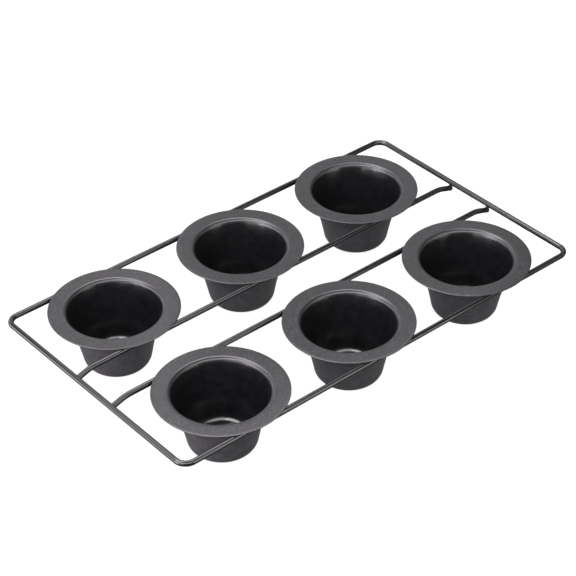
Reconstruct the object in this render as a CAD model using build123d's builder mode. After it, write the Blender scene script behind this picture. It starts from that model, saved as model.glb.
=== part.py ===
from build123d import *
from math import asin, cos, sin, sqrt
import os

# A six-cup popover pan: drawn steel cups whose flanges are welded onto a wire rack.
# Millimetres. X runs along the rows of cups, Y across them, Z up from the cups' undersides.
# The origin is under the middle of the pan.

# Cup, measured on the inside and top faces of its sheet
mouth_diameter = 76.2
flange_width = 13.9
foot_diameter = 50.6
cup_height = 52.0
sheet_thickness = 0.8
lip_radius = 3.4
floor_corner_radius = 8.6
wall_bow = 1.2
rim_edge_radius = 0.3

# Layout of the cups, by the gaps between neighbouring flanges
rows = {"front": -1, "back": 1}
columns = {"left": -1, "middle": 0, "right": 1}
column_gap = 22.4
row_gap = 28.4

# Wire rack, measured to the wires' centre lines
wire_diameter = 4.5
frame_overhang = 6.3
rail_overhang = 7.7
end_gap = 18.1
frame_corner_radius = 9.2
rail_drop_run = 15.5
rail_bend_radius = 28.0
rail_tail = 0.4

# Resistance welds
weld_seam = 0.3
weld_clearance = 0.05
flange_weld_length = 7.0
flange_weld_width = 2.6
flange_weld_spacing = 28.0
rail_weld_diameter = 3.2
rail_weld_inset = 1.0

# Sizes that follow from the ones above
mouth_radius = mouth_diameter / 2
foot_radius = foot_diameter / 2
flange_radius = mouth_radius + flange_width
wire_radius = wire_diameter / 2
column_pitch = 2 * flange_radius + column_gap
row_pitch = 2 * flange_radius + row_gap
flange_underside = cup_height - sheet_thickness
wire_height = flange_underside - weld_seam - wire_radius
frame_end_x = columns["right"] * column_pitch + flange_radius + end_gap
frame_side_y = row_pitch / 2 + flange_radius - frame_overhang
rail_y = row_pitch / 2 - flange_radius + rail_overhang

# A rail slopes down until it lies one seam below the frame's short side
crossing_distance = wire_diameter + weld_seam
rail_slope = asin(crossing_distance / rail_drop_run)
rail_bend_x = frame_end_x - rail_drop_run
rail_slope_length = rail_drop_run * cos(rail_slope) + rail_tail
rail_end_x = rail_bend_x + rail_slope_length * cos(rail_slope)
rail_end_height = wire_height - rail_slope_length * sin(rail_slope)

os.makedirs("parts", exist_ok=True)


def finish(builder, label):
    """Label a finished piece, write it and print what it holds."""
    builder.part.label = label
    export_step(builder.part, f"parts/{label}.step")
    solids = builder.part.solids()
    print(f"{label}: {len(solids)} solids, {builder.part.volume:.1f} mm3")


# Cup
def build_cup(label, x, y):
    """Turn the section of the sheet about the upright axis through x, y."""
    section = Plane(origin=(x, y, 0), x_dir=(1, 0, 0), z_dir=(0, -1, 0))
    rim = (flange_radius, cup_height)
    mouth = (mouth_radius, cup_height)
    foot = (foot_radius, sheet_thickness)
    wall_middle = ((mouth_radius + foot_radius) / 2 - wall_bow, (cup_height + sheet_thickness) / 2)
    with BuildPart() as cup:
        with BuildSketch(section) as sheet:
            with BuildLine() as inside:
                Line(rim, mouth)
                ThreePointArc(mouth, wall_middle, foot)
                Line(foot, (0, sheet_thickness))
                fillet(inside.vertices().sort_by(Axis.X)[-2], radius=lip_radius)
                fillet(inside.vertices().sort_by(Axis.X)[1], radius=floor_corner_radius)
                offset(amount=sheet_thickness, side=Side.LEFT)
            make_face()
            fillet(sheet.vertices().group_by(Axis.X)[-1], radius=rim_edge_radius)
        revolve(axis=Axis((x, y, 0), (0, 0, 1)))
    finish(cup, label)


# Welds between one cup's flange and the two wires that it lies on
def build_flange_welds(label, x, side):
    """Fill the seam under the flange, two nuggets to a wire."""
    with BuildPart() as welds:
        for wire_y in (side * rail_y, side * frame_side_y):
            with BuildSketch(Plane(origin=(x, wire_y, flange_underside))):
                with GridLocations(flange_weld_spacing, 0, 2, 1):
                    SlotOverall(flange_weld_length, flange_weld_width)
            flank = sqrt(wire_radius**2 - (flange_weld_width / 2) ** 2)
            extrude(amount=-(weld_seam + wire_radius - flank))
            with BuildSketch(Plane(origin=(x, wire_y, wire_height), z_dir=(1, 0, 0))):
                Circle(wire_radius + weld_clearance)
            extrude(amount=flange_weld_spacing, both=True, mode=Mode.SUBTRACT)
    finish(welds, label)


for row_name, side in rows.items():
    for column_name, column in columns.items():
        cup_x = column * column_pitch
        build_cup(f"cup_{row_name}_{column_name}", cup_x, side * row_pitch / 2)
        build_flange_welds(f"flange_welds_{row_name}_{column_name}", cup_x, side)


# Frame: one wire bent round four corners and closed in the middle of the front side
with BuildPart() as frame_wire:
    with BuildLine(Plane.XY.offset(wire_height)) as frame_path:
        FilletPolyline(
            (0, -frame_side_y),
            (frame_end_x, -frame_side_y),
            (frame_end_x, frame_side_y),
            (-frame_end_x, frame_side_y),
            (-frame_end_x, -frame_side_y),
            (0, -frame_side_y),
            radius=[0] + 4 * [frame_corner_radius],
        )
    with BuildSketch(Plane(origin=(0, -frame_side_y, wire_height), z_dir=(1, 0, 0))):
        Circle(wire_radius)
    sweep(path=frame_path.wire())
finish(frame_wire, "frame_wire")


# Rails: straight wires whose ends dip under the frame's short sides
def build_rail(label, y):
    """Sweep one rail, level under the cups and sloping down at both ends."""
    with BuildPart() as rail:
        with BuildLine(Plane(origin=(0, y, 0), x_dir=(1, 0, 0), z_dir=(0, -1, 0))) as path:
            FilletPolyline(
                (-rail_end_x, rail_end_height),
                (-rail_bend_x, wire_height),
                (rail_bend_x, wire_height),
                (rail_end_x, rail_end_height),
                radius=rail_bend_radius,
            )
        centre_line = path.wire()
        with BuildSketch(Plane(origin=centre_line @ 0, z_dir=centre_line % 0)):
            Circle(wire_radius)
        sweep(path=centre_line)
    finish(rail, label)


for row_name, side in rows.items():
    build_rail(f"rail_{row_name}", side * rail_y)


# Welds between the rails' ends and the frame's short sides
with BuildPart() as rail_end_welds:
    weld_flank = sqrt(wire_radius**2 - (rail_weld_diameter / 2) ** 2)
    for end in (-1, 1):
        for side in rows.values():
            frame_centre = Vector(end * frame_end_x, side * rail_y, wire_height)
            upward = Vector(end * sin(rail_slope), 0, cos(rail_slope))
            along_rail = Vector(end * cos(rail_slope), 0, -sin(rail_slope))
            crossing = frame_centre - upward * (crossing_distance / 2)
            with BuildSketch(Plane(origin=crossing - along_rail * rail_weld_inset, z_dir=upward)):
                Circle(rail_weld_diameter / 2)
            extrude(amount=crossing_distance / 2 - weld_flank, both=True)
            with BuildSketch(Plane(origin=frame_centre, z_dir=(0, 1, 0))):
                Circle(wire_radius + weld_clearance)
            extrude(amount=rail_weld_diameter, both=True, mode=Mode.SUBTRACT)
            with BuildSketch(Plane(origin=frame_centre - upward * crossing_distance, z_dir=along_rail)):
                Circle(wire_radius + weld_clearance)
            extrude(amount=rail_weld_diameter, both=True, mode=Mode.SUBTRACT)
finish(rail_end_welds, "rail_end_welds")
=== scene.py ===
# %% [markdown]
# A popover pan is six deep drawn cups of thin steel, welded by their wide flat
# rims onto a rack of bent wire and coated dark all over. This lesson dresses
# the engineering model of the pan: the cups are turned and the wires bent again
# as finer meshes, every surface gets its coating, and the pan is set on a pale
# studio floor under soft light.

# %% Load the engineering model
from math import acos, asin, atan2, ceil, cos, degrees, hypot, pi, radians, sin, sqrt, tan

import bpy
from mathutils import Matrix, Vector


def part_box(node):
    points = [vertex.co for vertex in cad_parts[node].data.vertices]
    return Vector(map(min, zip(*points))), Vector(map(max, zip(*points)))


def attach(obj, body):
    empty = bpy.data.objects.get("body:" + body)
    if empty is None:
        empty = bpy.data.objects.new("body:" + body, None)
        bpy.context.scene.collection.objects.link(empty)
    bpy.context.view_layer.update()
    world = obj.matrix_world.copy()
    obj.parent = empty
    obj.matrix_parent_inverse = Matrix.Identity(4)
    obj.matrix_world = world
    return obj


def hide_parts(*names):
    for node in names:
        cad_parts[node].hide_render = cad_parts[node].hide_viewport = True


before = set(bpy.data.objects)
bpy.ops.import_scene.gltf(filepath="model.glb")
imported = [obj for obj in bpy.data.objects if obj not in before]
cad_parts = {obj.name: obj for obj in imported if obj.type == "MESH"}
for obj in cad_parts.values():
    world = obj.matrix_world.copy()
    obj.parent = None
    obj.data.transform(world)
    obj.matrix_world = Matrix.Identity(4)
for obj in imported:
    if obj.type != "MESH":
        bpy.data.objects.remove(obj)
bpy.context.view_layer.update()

# %% [markdown]
# Blender works in metres, but the pan's sizes are easier to read in
# millimetres, so a size is written as a number of them. Every mesh here is
# shaded smooth, except where two faces meet at more than 40 degrees, as they do
# at the cut end of a wire.

# %% Units and small helpers
mm = 0.001
sharp_from = radians(40)
scene = bpy.context.scene


def into_scene(thing):
    """Link a new object to the scene and give it back."""
    scene.collection.objects.link(thing)
    return thing


def mesh_piece(name, points, faces):
    """Make a smooth mesh whose steep corners stay sharp."""
    mesh = bpy.data.meshes.new(name)
    mesh.from_pydata(points, [], faces)
    mesh.validate()
    mesh.shade_smooth()
    mesh.set_sharp_from_angle(angle=sharp_from)
    return into_scene(bpy.data.objects.new(name, mesh))


# %% [markdown]
# The camera stands a metre and a half from the pan, to the left of its front,
# and looks down at it through a long lens, so that the far cups look hardly
# smaller than the near ones. It could be placed by its coordinates, but it is
# easier to set by what it looks at and from which side, as a photographer would.

# %% Camera
view_azimuth = radians(-39.82)
view_elevation = radians(36.76)
view_roll = radians(-0.87)
view_distance = 1546.1 * mm
view_aim = Vector((14.1, 23.4, 26.0)) * mm
lens_length = 119.36
sensor_width = 36.0

towards_camera = Vector((
    sin(view_azimuth) * cos(view_elevation),
    -cos(view_azimuth) * cos(view_elevation),
    sin(view_elevation),
))
camera_place = view_aim + towards_camera * view_distance
level_view = towards_camera.to_track_quat("Z", "Y").to_matrix()
rolled_view = level_view @ Matrix.Rotation(view_roll, 3, "Z")
lens = bpy.data.cameras.new("camera")
lens.lens = lens_length
lens.sensor_width = sensor_width
camera = into_scene(bpy.data.objects.new("camera", lens))
camera.matrix_world = Matrix.LocRotScale(camera_place, rolled_view, None)
scene.camera = camera
print("camera at", [round(v, 4) for v in camera_place])

# %% [markdown]
# Light is planned from the camera's side of the pan. These three directions say
# where a light stands: back is level and away from the camera, right is level
# and to its right, and up is up.

# %% Directions of the studio
back = Vector((-towards_camera.x, -towards_camera.y, 0)).normalized()
up = Vector((0, 0, 1))
right = back.cross(up)
print("back", [round(v, 3) for v in back], "right", [round(v, 3) for v in right])

# %% [markdown]
# The floor is a plain pale sheet. It lies a fifth of a millimetre under the
# cups, because two surfaces in exactly one plane flicker. The pan doesn't
# mirror it: rays that bounce off the coating pass through the sheet, as if the
# pan stood on a dark table, which gives the wires their dark undersides.

# %% Floor
floor_half = 3.0
floor_drop = 0.2 * mm
floor_colour = (0.86, 0.86, 0.865, 1.0)
floor_roughness = 0.9

quarters = ((-1, -1), (1, -1), (1, 1), (-1, 1))
floor_corners = [(x * floor_half, y * floor_half, -floor_drop) for x, y in quarters]
floor = mesh_piece("floor", floor_corners, [(0, 1, 2, 3)])
floor.visible_glossy = False
floor.visible_diffuse = False
floor_paint = bpy.data.materials.new("floor paper")
floor_paint.use_nodes = True
floor_surface = floor_paint.node_tree.nodes["Principled BSDF"].inputs
floor_surface["Base Color"].default_value = floor_colour
floor_surface["Roughness"].default_value = floor_roughness
floor_surface["Specular IOR Level"].default_value = 0.0
floor.data.materials.append(floor_paint)
print("floor", 2 * floor_half, "m wide")

# %% [markdown]
# A softbox is a lit panel. A coated pan mirrors its brightness, so that is what
# is given, and the lamp's power follows from the panel's area. Each panel is
# placed by its bearing, clockwise from the back, and by its height above the
# horizon, and is sized by the angle that it fills. Its white has a trace of
# pink. The panels light the pan alone, and nothing but the pan stands in their
# way.

# %% Softboxes
pan_only = bpy.data.collections.new("pan pieces")
scene.collection.children.link(pan_only)
panel_distance = 1.6
panel_white = (1.0, 0.968, 1.0)


def softbox(name, bearing, elevation, wide, high, brightness):
    """A panel that faces the middle of the pan, with its place and its size in degrees."""
    bearing, elevation = radians(bearing), radians(elevation)
    level = back * cos(bearing) + right * sin(bearing)
    outward = level * cos(elevation) + up * sin(elevation)
    centre = view_aim + outward * panel_distance
    panel = bpy.data.lights.new(name, "AREA")
    panel.shape = "RECTANGLE"
    panel.size = 2 * panel_distance * cos(elevation) * tan(radians(wide / 2))
    panel.size_y = 2 * panel_distance * tan(radians(high / 2))
    panel.energy = brightness * pi * panel.size * panel.size_y
    panel.color = panel_white
    lamp = into_scene(bpy.data.objects.new(name, panel))
    lamp.matrix_world = Matrix.LocRotScale(centre, outward.to_track_quat("Z", "Y"), None)
    lamp.light_linking.receiver_collection = pan_only
    lamp.light_linking.blocker_collection = pan_only
    lamp.visible_camera = False
    print(name, "at", [round(v, 2) for v in centre], "brightness", brightness)


softbox("overhead left softbox", 300, 67, 60, 18, 11.0)
softbox("overhead back softbox", 0, 67, 60, 18, 10.0)
softbox("upper left softbox", 280, 51, 40, 14, 7.0)
softbox("front left softbox", 225, 43, 60, 30, 10.5)
softbox("front panel", 165, 42, 60, 28, 6.5)
softbox("right softbox", 120, 36, 30, 16, 6.5)
softbox("low front left panel", 210, 4, 30, 16, 5.5)
softbox("low left softbox", 240, 4, 30, 16, 23.0)
softbox("low side softbox", 270, 4, 30, 16, 12.0)
softbox("low right softbox", 120, 4, 30, 16, 8.0)
softbox("upper back panel", 350, 52, 60, 12, 2.6)
softbox("left back panel", 335, 30, 30, 32, 1.35)
softbox("middle back panel", 2, 30, 24, 32, 0.95)
softbox("right back panel", 29, 30, 30, 32, 0.62)
softbox("low back panel", 305, 14, 30, 36, 2.2)
softbox("low right side panel", 90, 10, 30, 28, 1.3)

# %% [markdown]
# The floor has two lamps of its own, as wide as itself. The pan casts a shadow
# from the first. Most light comes from the second, which only the floor itself
# could block, and so the shadow is faint. The room adds a little light from all
# sides to floor and pan alike.

# %% Floor lamps and room light
floor_only = bpy.data.collections.new("floor alone")
scene.collection.children.link(floor_only)
floor_only.objects.link(floor)
lamp_height = 2.5
room_white = (1.0, 1.0, 1.0, 1.0)
room_brightness = 0.2


def floor_lamp(name, blockers, brightness):
    """A wide level panel high above the floor, lighting it alone."""
    panel = bpy.data.lights.new(name, "AREA")
    panel.size = 2 * floor_half
    panel.energy = brightness * pi * panel.size**2
    lamp = into_scene(bpy.data.objects.new(name, panel))
    lamp.location = lamp_height * up
    lamp.light_linking.receiver_collection = floor_only
    lamp.light_linking.blocker_collection = blockers
    lamp.visible_camera = False
    print(name, "brightness", brightness)


floor_lamp("floor lamp", pan_only, 0.2)
floor_lamp("even floor lamp", floor_only, 1.65)

room = bpy.data.worlds.new("room")
scene.world = room
room.use_nodes = True
room_light = room.node_tree.nodes["Background"]
room_light.inputs["Color"].default_value = room_white
room_light.inputs["Strength"].default_value = room_brightness
scene.view_settings.view_transform = "Standard"

# %% [markdown]
# Shader maths reads best as sums. This class wraps one output of a node, so
# that adding or multiplying two of them makes the Math node by itself, and one
# method adds any other kind of node.

# %% Shader sums
class Shade:
    """One output socket of a material, with its sums written as Python sums."""

    def __init__(self, tree, socket=None):
        self.tree = tree
        self.socket = socket

    def node(self, kind, settings=None, output=0, inputs=None):
        """Add a node: its settings first, then a value or a link for each socket named."""
        made = self.tree.nodes.new(kind)
        for name, value in (settings or {}).items():
            setattr(made, name, value)
        for name, value in (inputs or {}).items():
            if isinstance(value, Shade):
                value.into(made.inputs[name])
            else:
                made.inputs[name].default_value = value
        return Shade(self.tree, made.outputs[output])

    def into(self, socket):
        """Feed this value to a socket."""
        self.tree.links.new(self.socket, socket)

    def math(self, operation, first, second):
        """A Math node of that operation."""
        return self.node("ShaderNodeMath", {"operation": operation}, inputs={0: first, 1: second})

    def __add__(self, other):
        return self.math("ADD", self, other)

    def __radd__(self, other):
        return self.math("ADD", other, self)

    def __sub__(self, other):
        return self.math("SUBTRACT", self, other)

    def __rsub__(self, other):
        return self.math("SUBTRACT", other, self)

    def __mul__(self, other):
        return self.math("MULTIPLY", self, other)

    def __rmul__(self, other):
        return self.math("MULTIPLY", other, self)

    def between(self, low, high):
        """A smooth rise from nought at low to one at high, and a fall if low is the higher."""
        limits = {"Value": self, "From Min": low, "From Max": high}
        return self.node("ShaderNodeMapRange", {"interpolation_type": "SMOOTHSTEP"}, inputs=limits)

    def vector(self, operation, other=(0, 0, 0), output="Vector"):
        """A Vector Math node of that operation."""
        vectors = {0: self, 1: other}
        return self.node("ShaderNodeVectorMath", {"operation": operation}, output, vectors)

    def blend(self, first, second):
        """A colour that goes from first to second as this value goes from nought to one."""
        # Mix has sockets for several types under one name, so these go by number
        colours = {0: self, 6: first, 7: second}
        return self.node("ShaderNodeMix", {"data_type": "RGBA"}, 2, colours)

    def noise(self, grain, detail=2.0, roughness=0.5):
        """Noise whose features are about grain metres across."""
        settings = {"Vector": self, "Scale": 1 / grain, "Detail": detail, "Roughness": roughness}
        return self.node("ShaderNodeTexNoise", inputs=settings)


# %% [markdown]
# The coating is a baked dark grey non-stick film a few hundredths of a
# millimetre thick. Inside the cups it is black and smooth. The outside of the
# cups has a duller coat, painted paler than the inside: painted light for the
# light on the cups' sides and the shade inside them. Each of the two has a
# darker tone for its mottling and a paler one for its specks. On top of the
# flanges the specks are painted grey, painted light where light falls, and
# round the lip the film is duller and painted a little grey, a painted
# highlight.

# %% Colours of the coating
black = (0.0044, 0.0041, 0.0046, 1.0)
black_dark = (0.0030, 0.0028, 0.0032, 1.0)
black_fleck = (0.0070, 0.0066, 0.0073, 1.0)
# Painted light: specks on top of the flanges are paler, because the tops are lit.
flange_fleck_painted_light = (0.037, 0.035, 0.038, 1.0)
# Painted highlight: the lip is painted a little grey where it mirrors a bright crescent.
lip_painted_highlight_grey = (0.010, 0.0095, 0.0102, 1.0)
# Painted light: the outside coat is painted paler than the inside, for the light on the cups'
# sides.
painted_light_charcoal = (0.032, 0.0305, 0.0335, 1.0)
painted_light_charcoal_dark = (0.022, 0.021, 0.023, 1.0)
painted_light_charcoal_fleck = (0.055, 0.053, 0.057, 1.0)

# %% [markdown]
# The flanges and the lips could have materials of their own, but then a hard
# line would part them from the rest of the sheet. They are told by their height
# above the floor instead, and the finish, with the painted light of the grey
# flange specks and the painted highlight round the lip, fades in or out between
# two heights just under the top of the rims.

# %% Heights of the flange and the lip
cup_low, cup_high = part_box("cup_front_middle")
# Painted light: between these heights the specks turn grey on the lit flange tops.
flange_painted_light_fade = (cup_high.z - 2.0 * mm, cup_high.z - 0.5 * mm)
lip_fade_in = (cup_high.z - 4.0 * mm, cup_high.z - 2.0 * mm)
lip_fade_out = (cup_high.z - 0.02 * mm, cup_high.z - 0.2 * mm)
print("tops of the rims at", round(cup_high.z / mm, 2), "mm")

# %% [markdown]
# Up close the film is mottled and speckled, and it has a fine orange-peel skin
# that softens what it mirrors. An image could be wrapped round each piece for
# this, but noise needs no unwrapping and stays sharp from near by. Colour,
# roughness and the skin all come from noise of the right grain, laid out in the
# pan's own space so that no two cups are alike. The skin is a bump, because its
# waves are a few thousandths of a millimetre high, too fine for a mesh. Round
# the lip the film is duller and the skin is drawn nearly smooth.

# %% Coating
mottle_grain = 6 * mm
fine_grain = 0.9 * mm
fleck_grain = 1.1 * mm
cloud_fade = (0.35, 0.65)
fleck_fade = 0.15
fleck_strength = 0.7
fine_sheen = 0.16
mottle_sheen = 0.10
outside_sheen = 0.14
lip_sheen = 0.12
fine_relief = 0.35
lip_smoothing = 0.7


def coating(name, roughness, peel_grain, peel_height, fleck_share, dull_and_painted_light=None):
    """A mottled, speckled film with an orange-peel skin and grey specks painted on the flange tops
    as painted light; where the last argument's mask is one the film is duller and painted paler,
    also painted light, and the lip gets a painted highlight.
    """
    paint = bpy.data.materials.new(name)
    paint.use_nodes = True
    surface = paint.node_tree.nodes["Principled BSDF"].inputs
    base = Shade(paint.node_tree)
    place = base.node("ShaderNodeNewGeometry", output="Position")
    height = place.vector("DOT_PRODUCT", (0, 0, 1), output="Value")
    mottle = place.noise(mottle_grain, detail=3.0)
    grain = place.noise(fine_grain, detail=3.0, roughness=0.6)
    fleck_from = 1 - fleck_share
    flecks = place.noise(fleck_grain).between(fleck_from, fleck_from + fleck_fade) * fleck_strength
    clouds = mottle.between(*cloud_fade)
    # Painted light: grey specks on the lit flange tops, dark specks lower down.
    fleck_and_painted_light_colour = height.between(*flange_painted_light_fade).blend(black_fleck, flange_fleck_painted_light)
    colour = flecks.blend(clouds.blend(black_dark, black), fleck_and_painted_light_colour)
    sheen = (grain - 0.5) * fine_sheen + (mottle - 0.5) * mottle_sheen + roughness
    relief = place.noise(peel_grain) + grain * fine_relief
    if dull_and_painted_light:
        outside = dull_and_painted_light(base)
        # Painted light: the outside of a cup is painted paler than its inside.
        outside_painted_light_colour = flecks.blend(clouds.blend(painted_light_charcoal_dark, painted_light_charcoal), painted_light_charcoal_fleck)
        # Painted highlight: a band of grey painted round the lip.
        on_lip = height.between(*lip_fade_out) * height.between(*lip_fade_in) * (1 - outside)
        colour = on_lip.blend(outside.blend(colour, outside_painted_light_colour), lip_painted_highlight_grey)
        sheen = sheen + outside * outside_sheen + on_lip * lip_sheen
        relief = relief * (1 - on_lip * lip_smoothing)
    bump = {"Strength": 1.0, "Distance": peel_height, "Height": relief}
    colour.into(surface["Base Color"])
    sheen.into(surface["Roughness"])
    base.node("ShaderNodeBump", inputs=bump).into(surface["Normal"])
    return paint


# %% [markdown]
# The inside and the outside of a cup are one closed mesh, so the outside's
# duller coat, and its paler colour, which is painted light, have to find their
# own side. Outside is where the surface faces away from its cup's axis, or
# down. The cups are duller than the wires, and the welds are rough all over.

# %% The three finishes
facing_fade = (-0.2, 0.2)


# This mask also says where the cup is painted paler, which is painted light.
def outside_of_cup(base):
    """One where a cup's surface faces out or down, nought where it faces in or up."""
    place = base.node("ShaderNodeTexCoord", output="Object")
    from_axis = place.vector("MULTIPLY", (1, 1, 0)).vector("NORMALIZE")
    outward = from_axis.vector("SUBTRACT", (0, 0, 1))
    normal = base.node("ShaderNodeNewGeometry", output="Normal")
    return normal.vector("DOT_PRODUCT", outward, output="Value").between(*facing_fade)


cup_coating = coating(
    "cup coating", roughness=0.18, peel_grain=1.6 * mm, peel_height=0.006 * mm,
    fleck_share=0.45, dull_and_painted_light=outside_of_cup,
)
wire_coating = coating(
    "wire coating", roughness=0.10, peel_grain=1.2 * mm, peel_height=0.004 * mm,
    fleck_share=0.42,
)
weld_coating = coating(
    "weld coating", roughness=0.36, peel_grain=0.7 * mm, peel_height=0.03 * mm,
    fleck_share=0.36,
)
print("finishes", [paint.name for paint in (cup_coating, wire_coating, weld_coating)])

# %% [markdown]
# A cup is one disc of sheet, drawn down into a tapered wall and trimmed round.
# The section of its inside is a flat rim, a small lip, a wall that bows very
# slightly inwards, a rounded corner and a flat floor. The cup's height and its
# rim are measured on the model, and the other sizes are the ones it was made
# with.

# %% Sizes of a cup
cup_height = cup_high.z - cup_low.z
rim_radius = (cup_high.x - cup_low.x) / 2
sheet = 0.8 * mm
mouth_radius = 38.1 * mm
foot_radius = 25.3 * mm
wall_bow = 1.2 * mm
lip_radius = 3.4 * mm
corner_radius = 8.6 * mm
edge_radius = 0.3 * mm
print("cup", round(cup_height / mm, 2), "mm high, rim", round(2 * rim_radius / mm, 2), "mm wide")

# %% [markdown]
# The bowed wall is an arc through the mouth, the middle and the foot. Each
# rounding is a circle that just touches the wall and a flat: the flat gives the
# height of its centre, and the distance between the two centres gives the rest.

# %% Circles of the section
def circle_through(a, b, c):
    """The centre of the circle through three points of a plane."""
    ax, ay, bx, by, cx, cy = *a, *b, *c
    turn = 2 * (ax * (by - cy) + bx * (cy - ay) + cx * (ay - by))
    squares = [x * x + y * y for x, y in (a, b, c)]
    x = (squares[0] * (by - cy) + squares[1] * (cy - ay) + squares[2] * (ay - by)) / turn
    y = (squares[0] * (cx - bx) + squares[1] * (ax - cx) + squares[2] * (bx - ax)) / turn
    return x, y


mouth = (mouth_radius, cup_height)
foot = (foot_radius, sheet)
middle = ((mouth_radius + foot_radius) / 2 - wall_bow, (cup_height + sheet) / 2)
bow_centre = circle_through(mouth, middle, foot)
bow_radius = hypot(mouth[0] - bow_centre[0], mouth[1] - bow_centre[1])


def touching(height, distance):
    """The centre of a rounding, at that height and that distance from the bow's centre."""
    rise = height - bow_centre[1]
    return bow_centre[0] - sqrt(distance**2 - rise**2), height


def seen_from_bow(centre):
    """The angle at which the bow's centre sees another centre, up to a whole turn."""
    return atan2(centre[1] - bow_centre[1], centre[0] - bow_centre[0]) % (2 * pi)


lip_centre = touching(cup_height - lip_radius, bow_radius - lip_radius)
corner_centre = touching(sheet + corner_radius, bow_radius + corner_radius)
lip_turn = seen_from_bow(lip_centre)
corner_turn = seen_from_bow(corner_centre)
corner_side = corner_turn - pi
print("wall leans", round(90 - abs(degrees(corner_side)), 1), "degrees at the corner")

# %% [markdown]
# The line of the inside is walked from the floor's middle out to the rim. Each
# point also carries the direction into the sheet, so that the outside of the
# cup is the same line moved by the sheet's thickness. The trimmed edge of the
# rim joins the two with a small rounding above and below.

# %% Outline of the sheet
floor_rings = 5
corner_steps = 14
wall_steps = 22
lip_steps = 12
flange_steps = 6
edge_steps = 4
down = (0.0, -1.0)


def arc(centre, radius, start, end, steps):
    """Points along an arc, with the direction out of its centre at each."""
    angles = [start + (end - start) * i / steps for i in range(steps + 1)]
    outward = [(cos(a), sin(a)) for a in angles]
    return [(centre[0] + radius * dx, centre[1] + radius * dz, dx, dz) for dx, dz in outward]


inside = [(corner_centre[0] * i / floor_rings, sheet, *down) for i in range(floor_rings)]
inside += arc(corner_centre, corner_radius, -pi / 2, corner_side, corner_steps)
wall = arc(bow_centre, bow_radius, corner_turn, lip_turn, wall_steps)[1:-1]
lip = arc(lip_centre, lip_radius, lip_turn, pi / 2, lip_steps)
inside += [(x, z, -dx, -dz) for x, z, dx, dz in wall + lip]
lip_end = lip_centre[0]
trim = rim_radius - edge_radius
flat = trim - lip_end
inside += [(lip_end + flat * i / flange_steps, cup_height, *down) for i in range(1, flange_steps)]

top_edge = arc((trim, cup_height - edge_radius), edge_radius, pi / 2, 0, edge_steps)
under_edge = arc((trim, cup_height - sheet + edge_radius), edge_radius, 0, -pi / 2, edge_steps)
outside = [(x + dx * sheet, z + dz * sheet) for x, z, dx, dz in reversed(inside)]
outline = [point[:2] for point in inside + top_edge + under_edge] + outside
print("outline of", len(outline), "points")

# %% [markdown]
# Turning the outline about the cup's upright axis makes the cup. Blender's
# Screw modifier turns outlines too, but here the two points that lie on the
# axis become one vertex each, so the sheet is closed and has its real thickness
# everywhere.

# %% Turned cups
turn_steps = 180


def turn(name, section):
    """Turn a section that starts and ends on the axis into a closed mesh."""
    angles = [2 * pi * i / turn_steps for i in range(turn_steps)]
    rings = section[1:-1]
    points = [(0, 0, section[0][1]), (0, 0, section[-1][1])]
    for x, z in rings:
        points += [(x * cos(a), x * sin(a), z) for a in angles]
    faces = []
    last = 2 + (len(rings) - 1) * turn_steps
    for i in range(turn_steps):
        j = (i + 1) % turn_steps
        faces.append((0, 2 + i, 2 + j))
        faces.append((1, last + j, last + i))
        for ring in range(len(rings) - 1):
            here = 2 + ring * turn_steps
            there = here + turn_steps
            faces.append((here + i, there + i, there + j, here + j))
    return mesh_piece(name, points, faces)


def dress(piece, nodes, paint):
    """Give a piece its coating and its place in the model."""
    piece.data.materials.append(paint)
    pan_only.objects.link(piece)
    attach(piece, "root")
    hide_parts(*nodes)


for row in ("front", "back"):
    for column in ("left", "middle", "right"):
        node = f"cup_{row}_{column}"
        low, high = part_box(node)
        cup = turn(f"{node}_turned", outline)
        cup.location = ((low.x + high.x) / 2, (low.y + high.y) / 2, low.z)
        dress(cup, [node], cup_coating)
print("cups of", len(cup.data.polygons), "faces each")

# %% [markdown]
# A bent wire is straight runs joined by round bends. A curve with a round bevel
# would look much the same, but its bends aren't true arcs. Here the route gives
# its corners, and each corner is cut by an arc that touches both runs.

# %% Route of a bent wire
bend_step = radians(4)


def bend(corners, radius, closed=False):
    """Stations along a route of straight runs and round bends: (point, direction) pairs."""
    stations = []
    count = len(corners)
    if not closed:
        stations.append((corners[0], (corners[1] - corners[0]).normalized()))
    for i in range(count) if closed else range(1, count - 1):
        before, corner, after = corners[i - 1], corners[i], corners[(i + 1) % count]
        arriving = (corner - before).normalized()
        leaving = (after - corner).normalized()
        turned_by = acos(max(-1.0, min(1.0, arriving.dot(leaving))))
        inward = (leaving - arriving).normalized()
        centre = corner + inward * (radius / cos(turned_by / 2))
        axis = arriving.cross(leaving).normalized()
        outward = axis.cross(arriving) * -radius
        steps = ceil(turned_by / bend_step)
        for step in range(steps + 1):
            twist = Matrix.Rotation(turned_by * step / steps, 3, axis)
            stations.append((centre + twist @ outward, twist @ arriving))
    if not closed:
        stations.append((corners[-1], (corners[-1] - corners[-2]).normalized()))
    return stations


# %% [markdown]
# A ring of points stands square to the route at each station, and neighbouring
# rings are joined by faces. All the routes here lie in one plane, so the plane's
# normal keeps every ring from twisting. A cut end has a small chamfer.

# %% Wire along its route
wire_sides = 32


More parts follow.
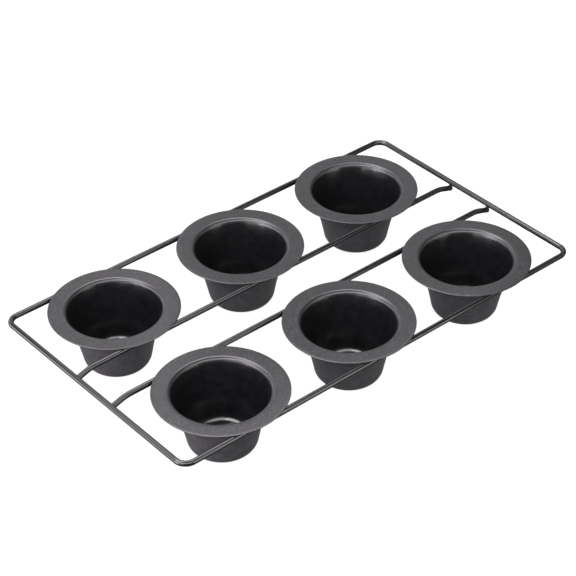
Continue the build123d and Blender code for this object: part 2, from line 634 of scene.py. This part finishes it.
def draw_wire(name, stations, radius, plane_normal, closed=False, chamfer=0.0):
    """A round wire along its stations, with chamfered ends where it isn't closed."""
    rings = [(point, direction, radius) for point, direction in stations]
    if not closed:
        (start, first, _), (end, final, _) = rings[0], rings[-1]
        rings[0] = (start + first * chamfer, first, radius)
        rings[-1] = (end - final * chamfer, final, radius)
        rings = [(start, first, radius - chamfer)] + rings + [(end, final, radius - chamfer)]
    points = []
    for point, direction, size in rings:
        side = direction.cross(plane_normal)
        for i in range(wire_sides):
            angle = 2 * pi * i / wire_sides
            points.append(point + (plane_normal * cos(angle) + side * sin(angle)) * size)
    faces = []
    count = len(rings)
    for ring in range(count if closed else count - 1):
        here, there = ring * wire_sides, (ring + 1) % count * wire_sides
        for i in range(wire_sides):
            j = (i + 1) % wire_sides
            faces.append((here + i, there + i, there + j, here + j))
    if not closed:
        faces.append(tuple(reversed(range(wire_sides))))
        faces.append(tuple((count - 1) * wire_sides + i for i in range(wire_sides)))
    return mesh_piece(name, points, faces)


# %% [markdown]
# The frame is one wire bent round four corners. It lies level under the rims,
# and the model gives the height and the place of its centre line.

# %% Frame
frame_low, frame_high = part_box("frame_wire")
wire_radius = (frame_high.z - frame_low.z) / 2
wire_height = (frame_high.z + frame_low.z) / 2
frame_end = frame_high.x - wire_radius
frame_side = frame_high.y - wire_radius
frame_corner_radius = 9.2 * mm

sides = ((1, -1), (1, 1), (-1, 1), (-1, -1))
frame_corners = [Vector((x * frame_end, y * frame_side, wire_height)) for x, y in sides]
frame_route = bend(frame_corners, frame_corner_radius, closed=True)
frame_wire = draw_wire("frame_wire_bent", frame_route, wire_radius, up, closed=True)
dress(frame_wire, ["frame_wire"], wire_coating)
print("frame of", len(frame_route), "stations, wire", round(2 * wire_radius / mm, 2), "mm thick")

# %% [markdown]
# The two rails run along the inner edges of the rows, under the flanges. Near
# each end a rail is bent down just far enough to pass under the frame's short
# side, where it is welded. The slope follows from the two thicknesses of wire
# and the seam between them.

# %% Rails
weld_seam = 0.3 * mm
rail_drop_run = 15.5 * mm
rail_bend_radius = 28.0 * mm
rail_tail = 0.4 * mm
rail_chamfer = 0.35 * mm

crossing = 2 * wire_radius + weld_seam
rail_slope = asin(crossing / rail_drop_run)
rail_bend = frame_end - rail_drop_run
slope_length = rail_drop_run * cos(rail_slope) + rail_tail
rail_end = rail_bend + slope_length * cos(rail_slope)
rail_end_height = wire_height - slope_length * sin(rail_slope)
rail_places = (
    (-rail_end, rail_end_height),
    (-rail_bend, wire_height),
    (rail_bend, wire_height),
    (rail_end, rail_end_height),
)
across = Vector((0, 1, 0))
for row in ("front", "back"):
    node = f"rail_{row}"
    low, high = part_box(node)
    y = (low.y + high.y) / 2
    route = bend([Vector((x, y, z)) for x, z in rail_places], rail_bend_radius)
    rail = draw_wire(f"{node}_bent", route, wire_radius, across, chamfer=rail_chamfer)
    dress(rail, [node], wire_coating)
print("rails slope", round(degrees(rail_slope), 1), "degrees at their ends")

# %% [markdown]
# The welds are small nuggets in the seams between the rims and the wires, and
# between the rails and the frame. Their shape in the model is right, so they
# only get the coating, which runs over them as it does over everything else.

# %% Welds
for name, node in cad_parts.items():
    if "welds" in name:
        node.data.materials.clear()
        node.data.materials.append(weld_coating)
        pan_only.objects.link(node)
        print(name, "coated")
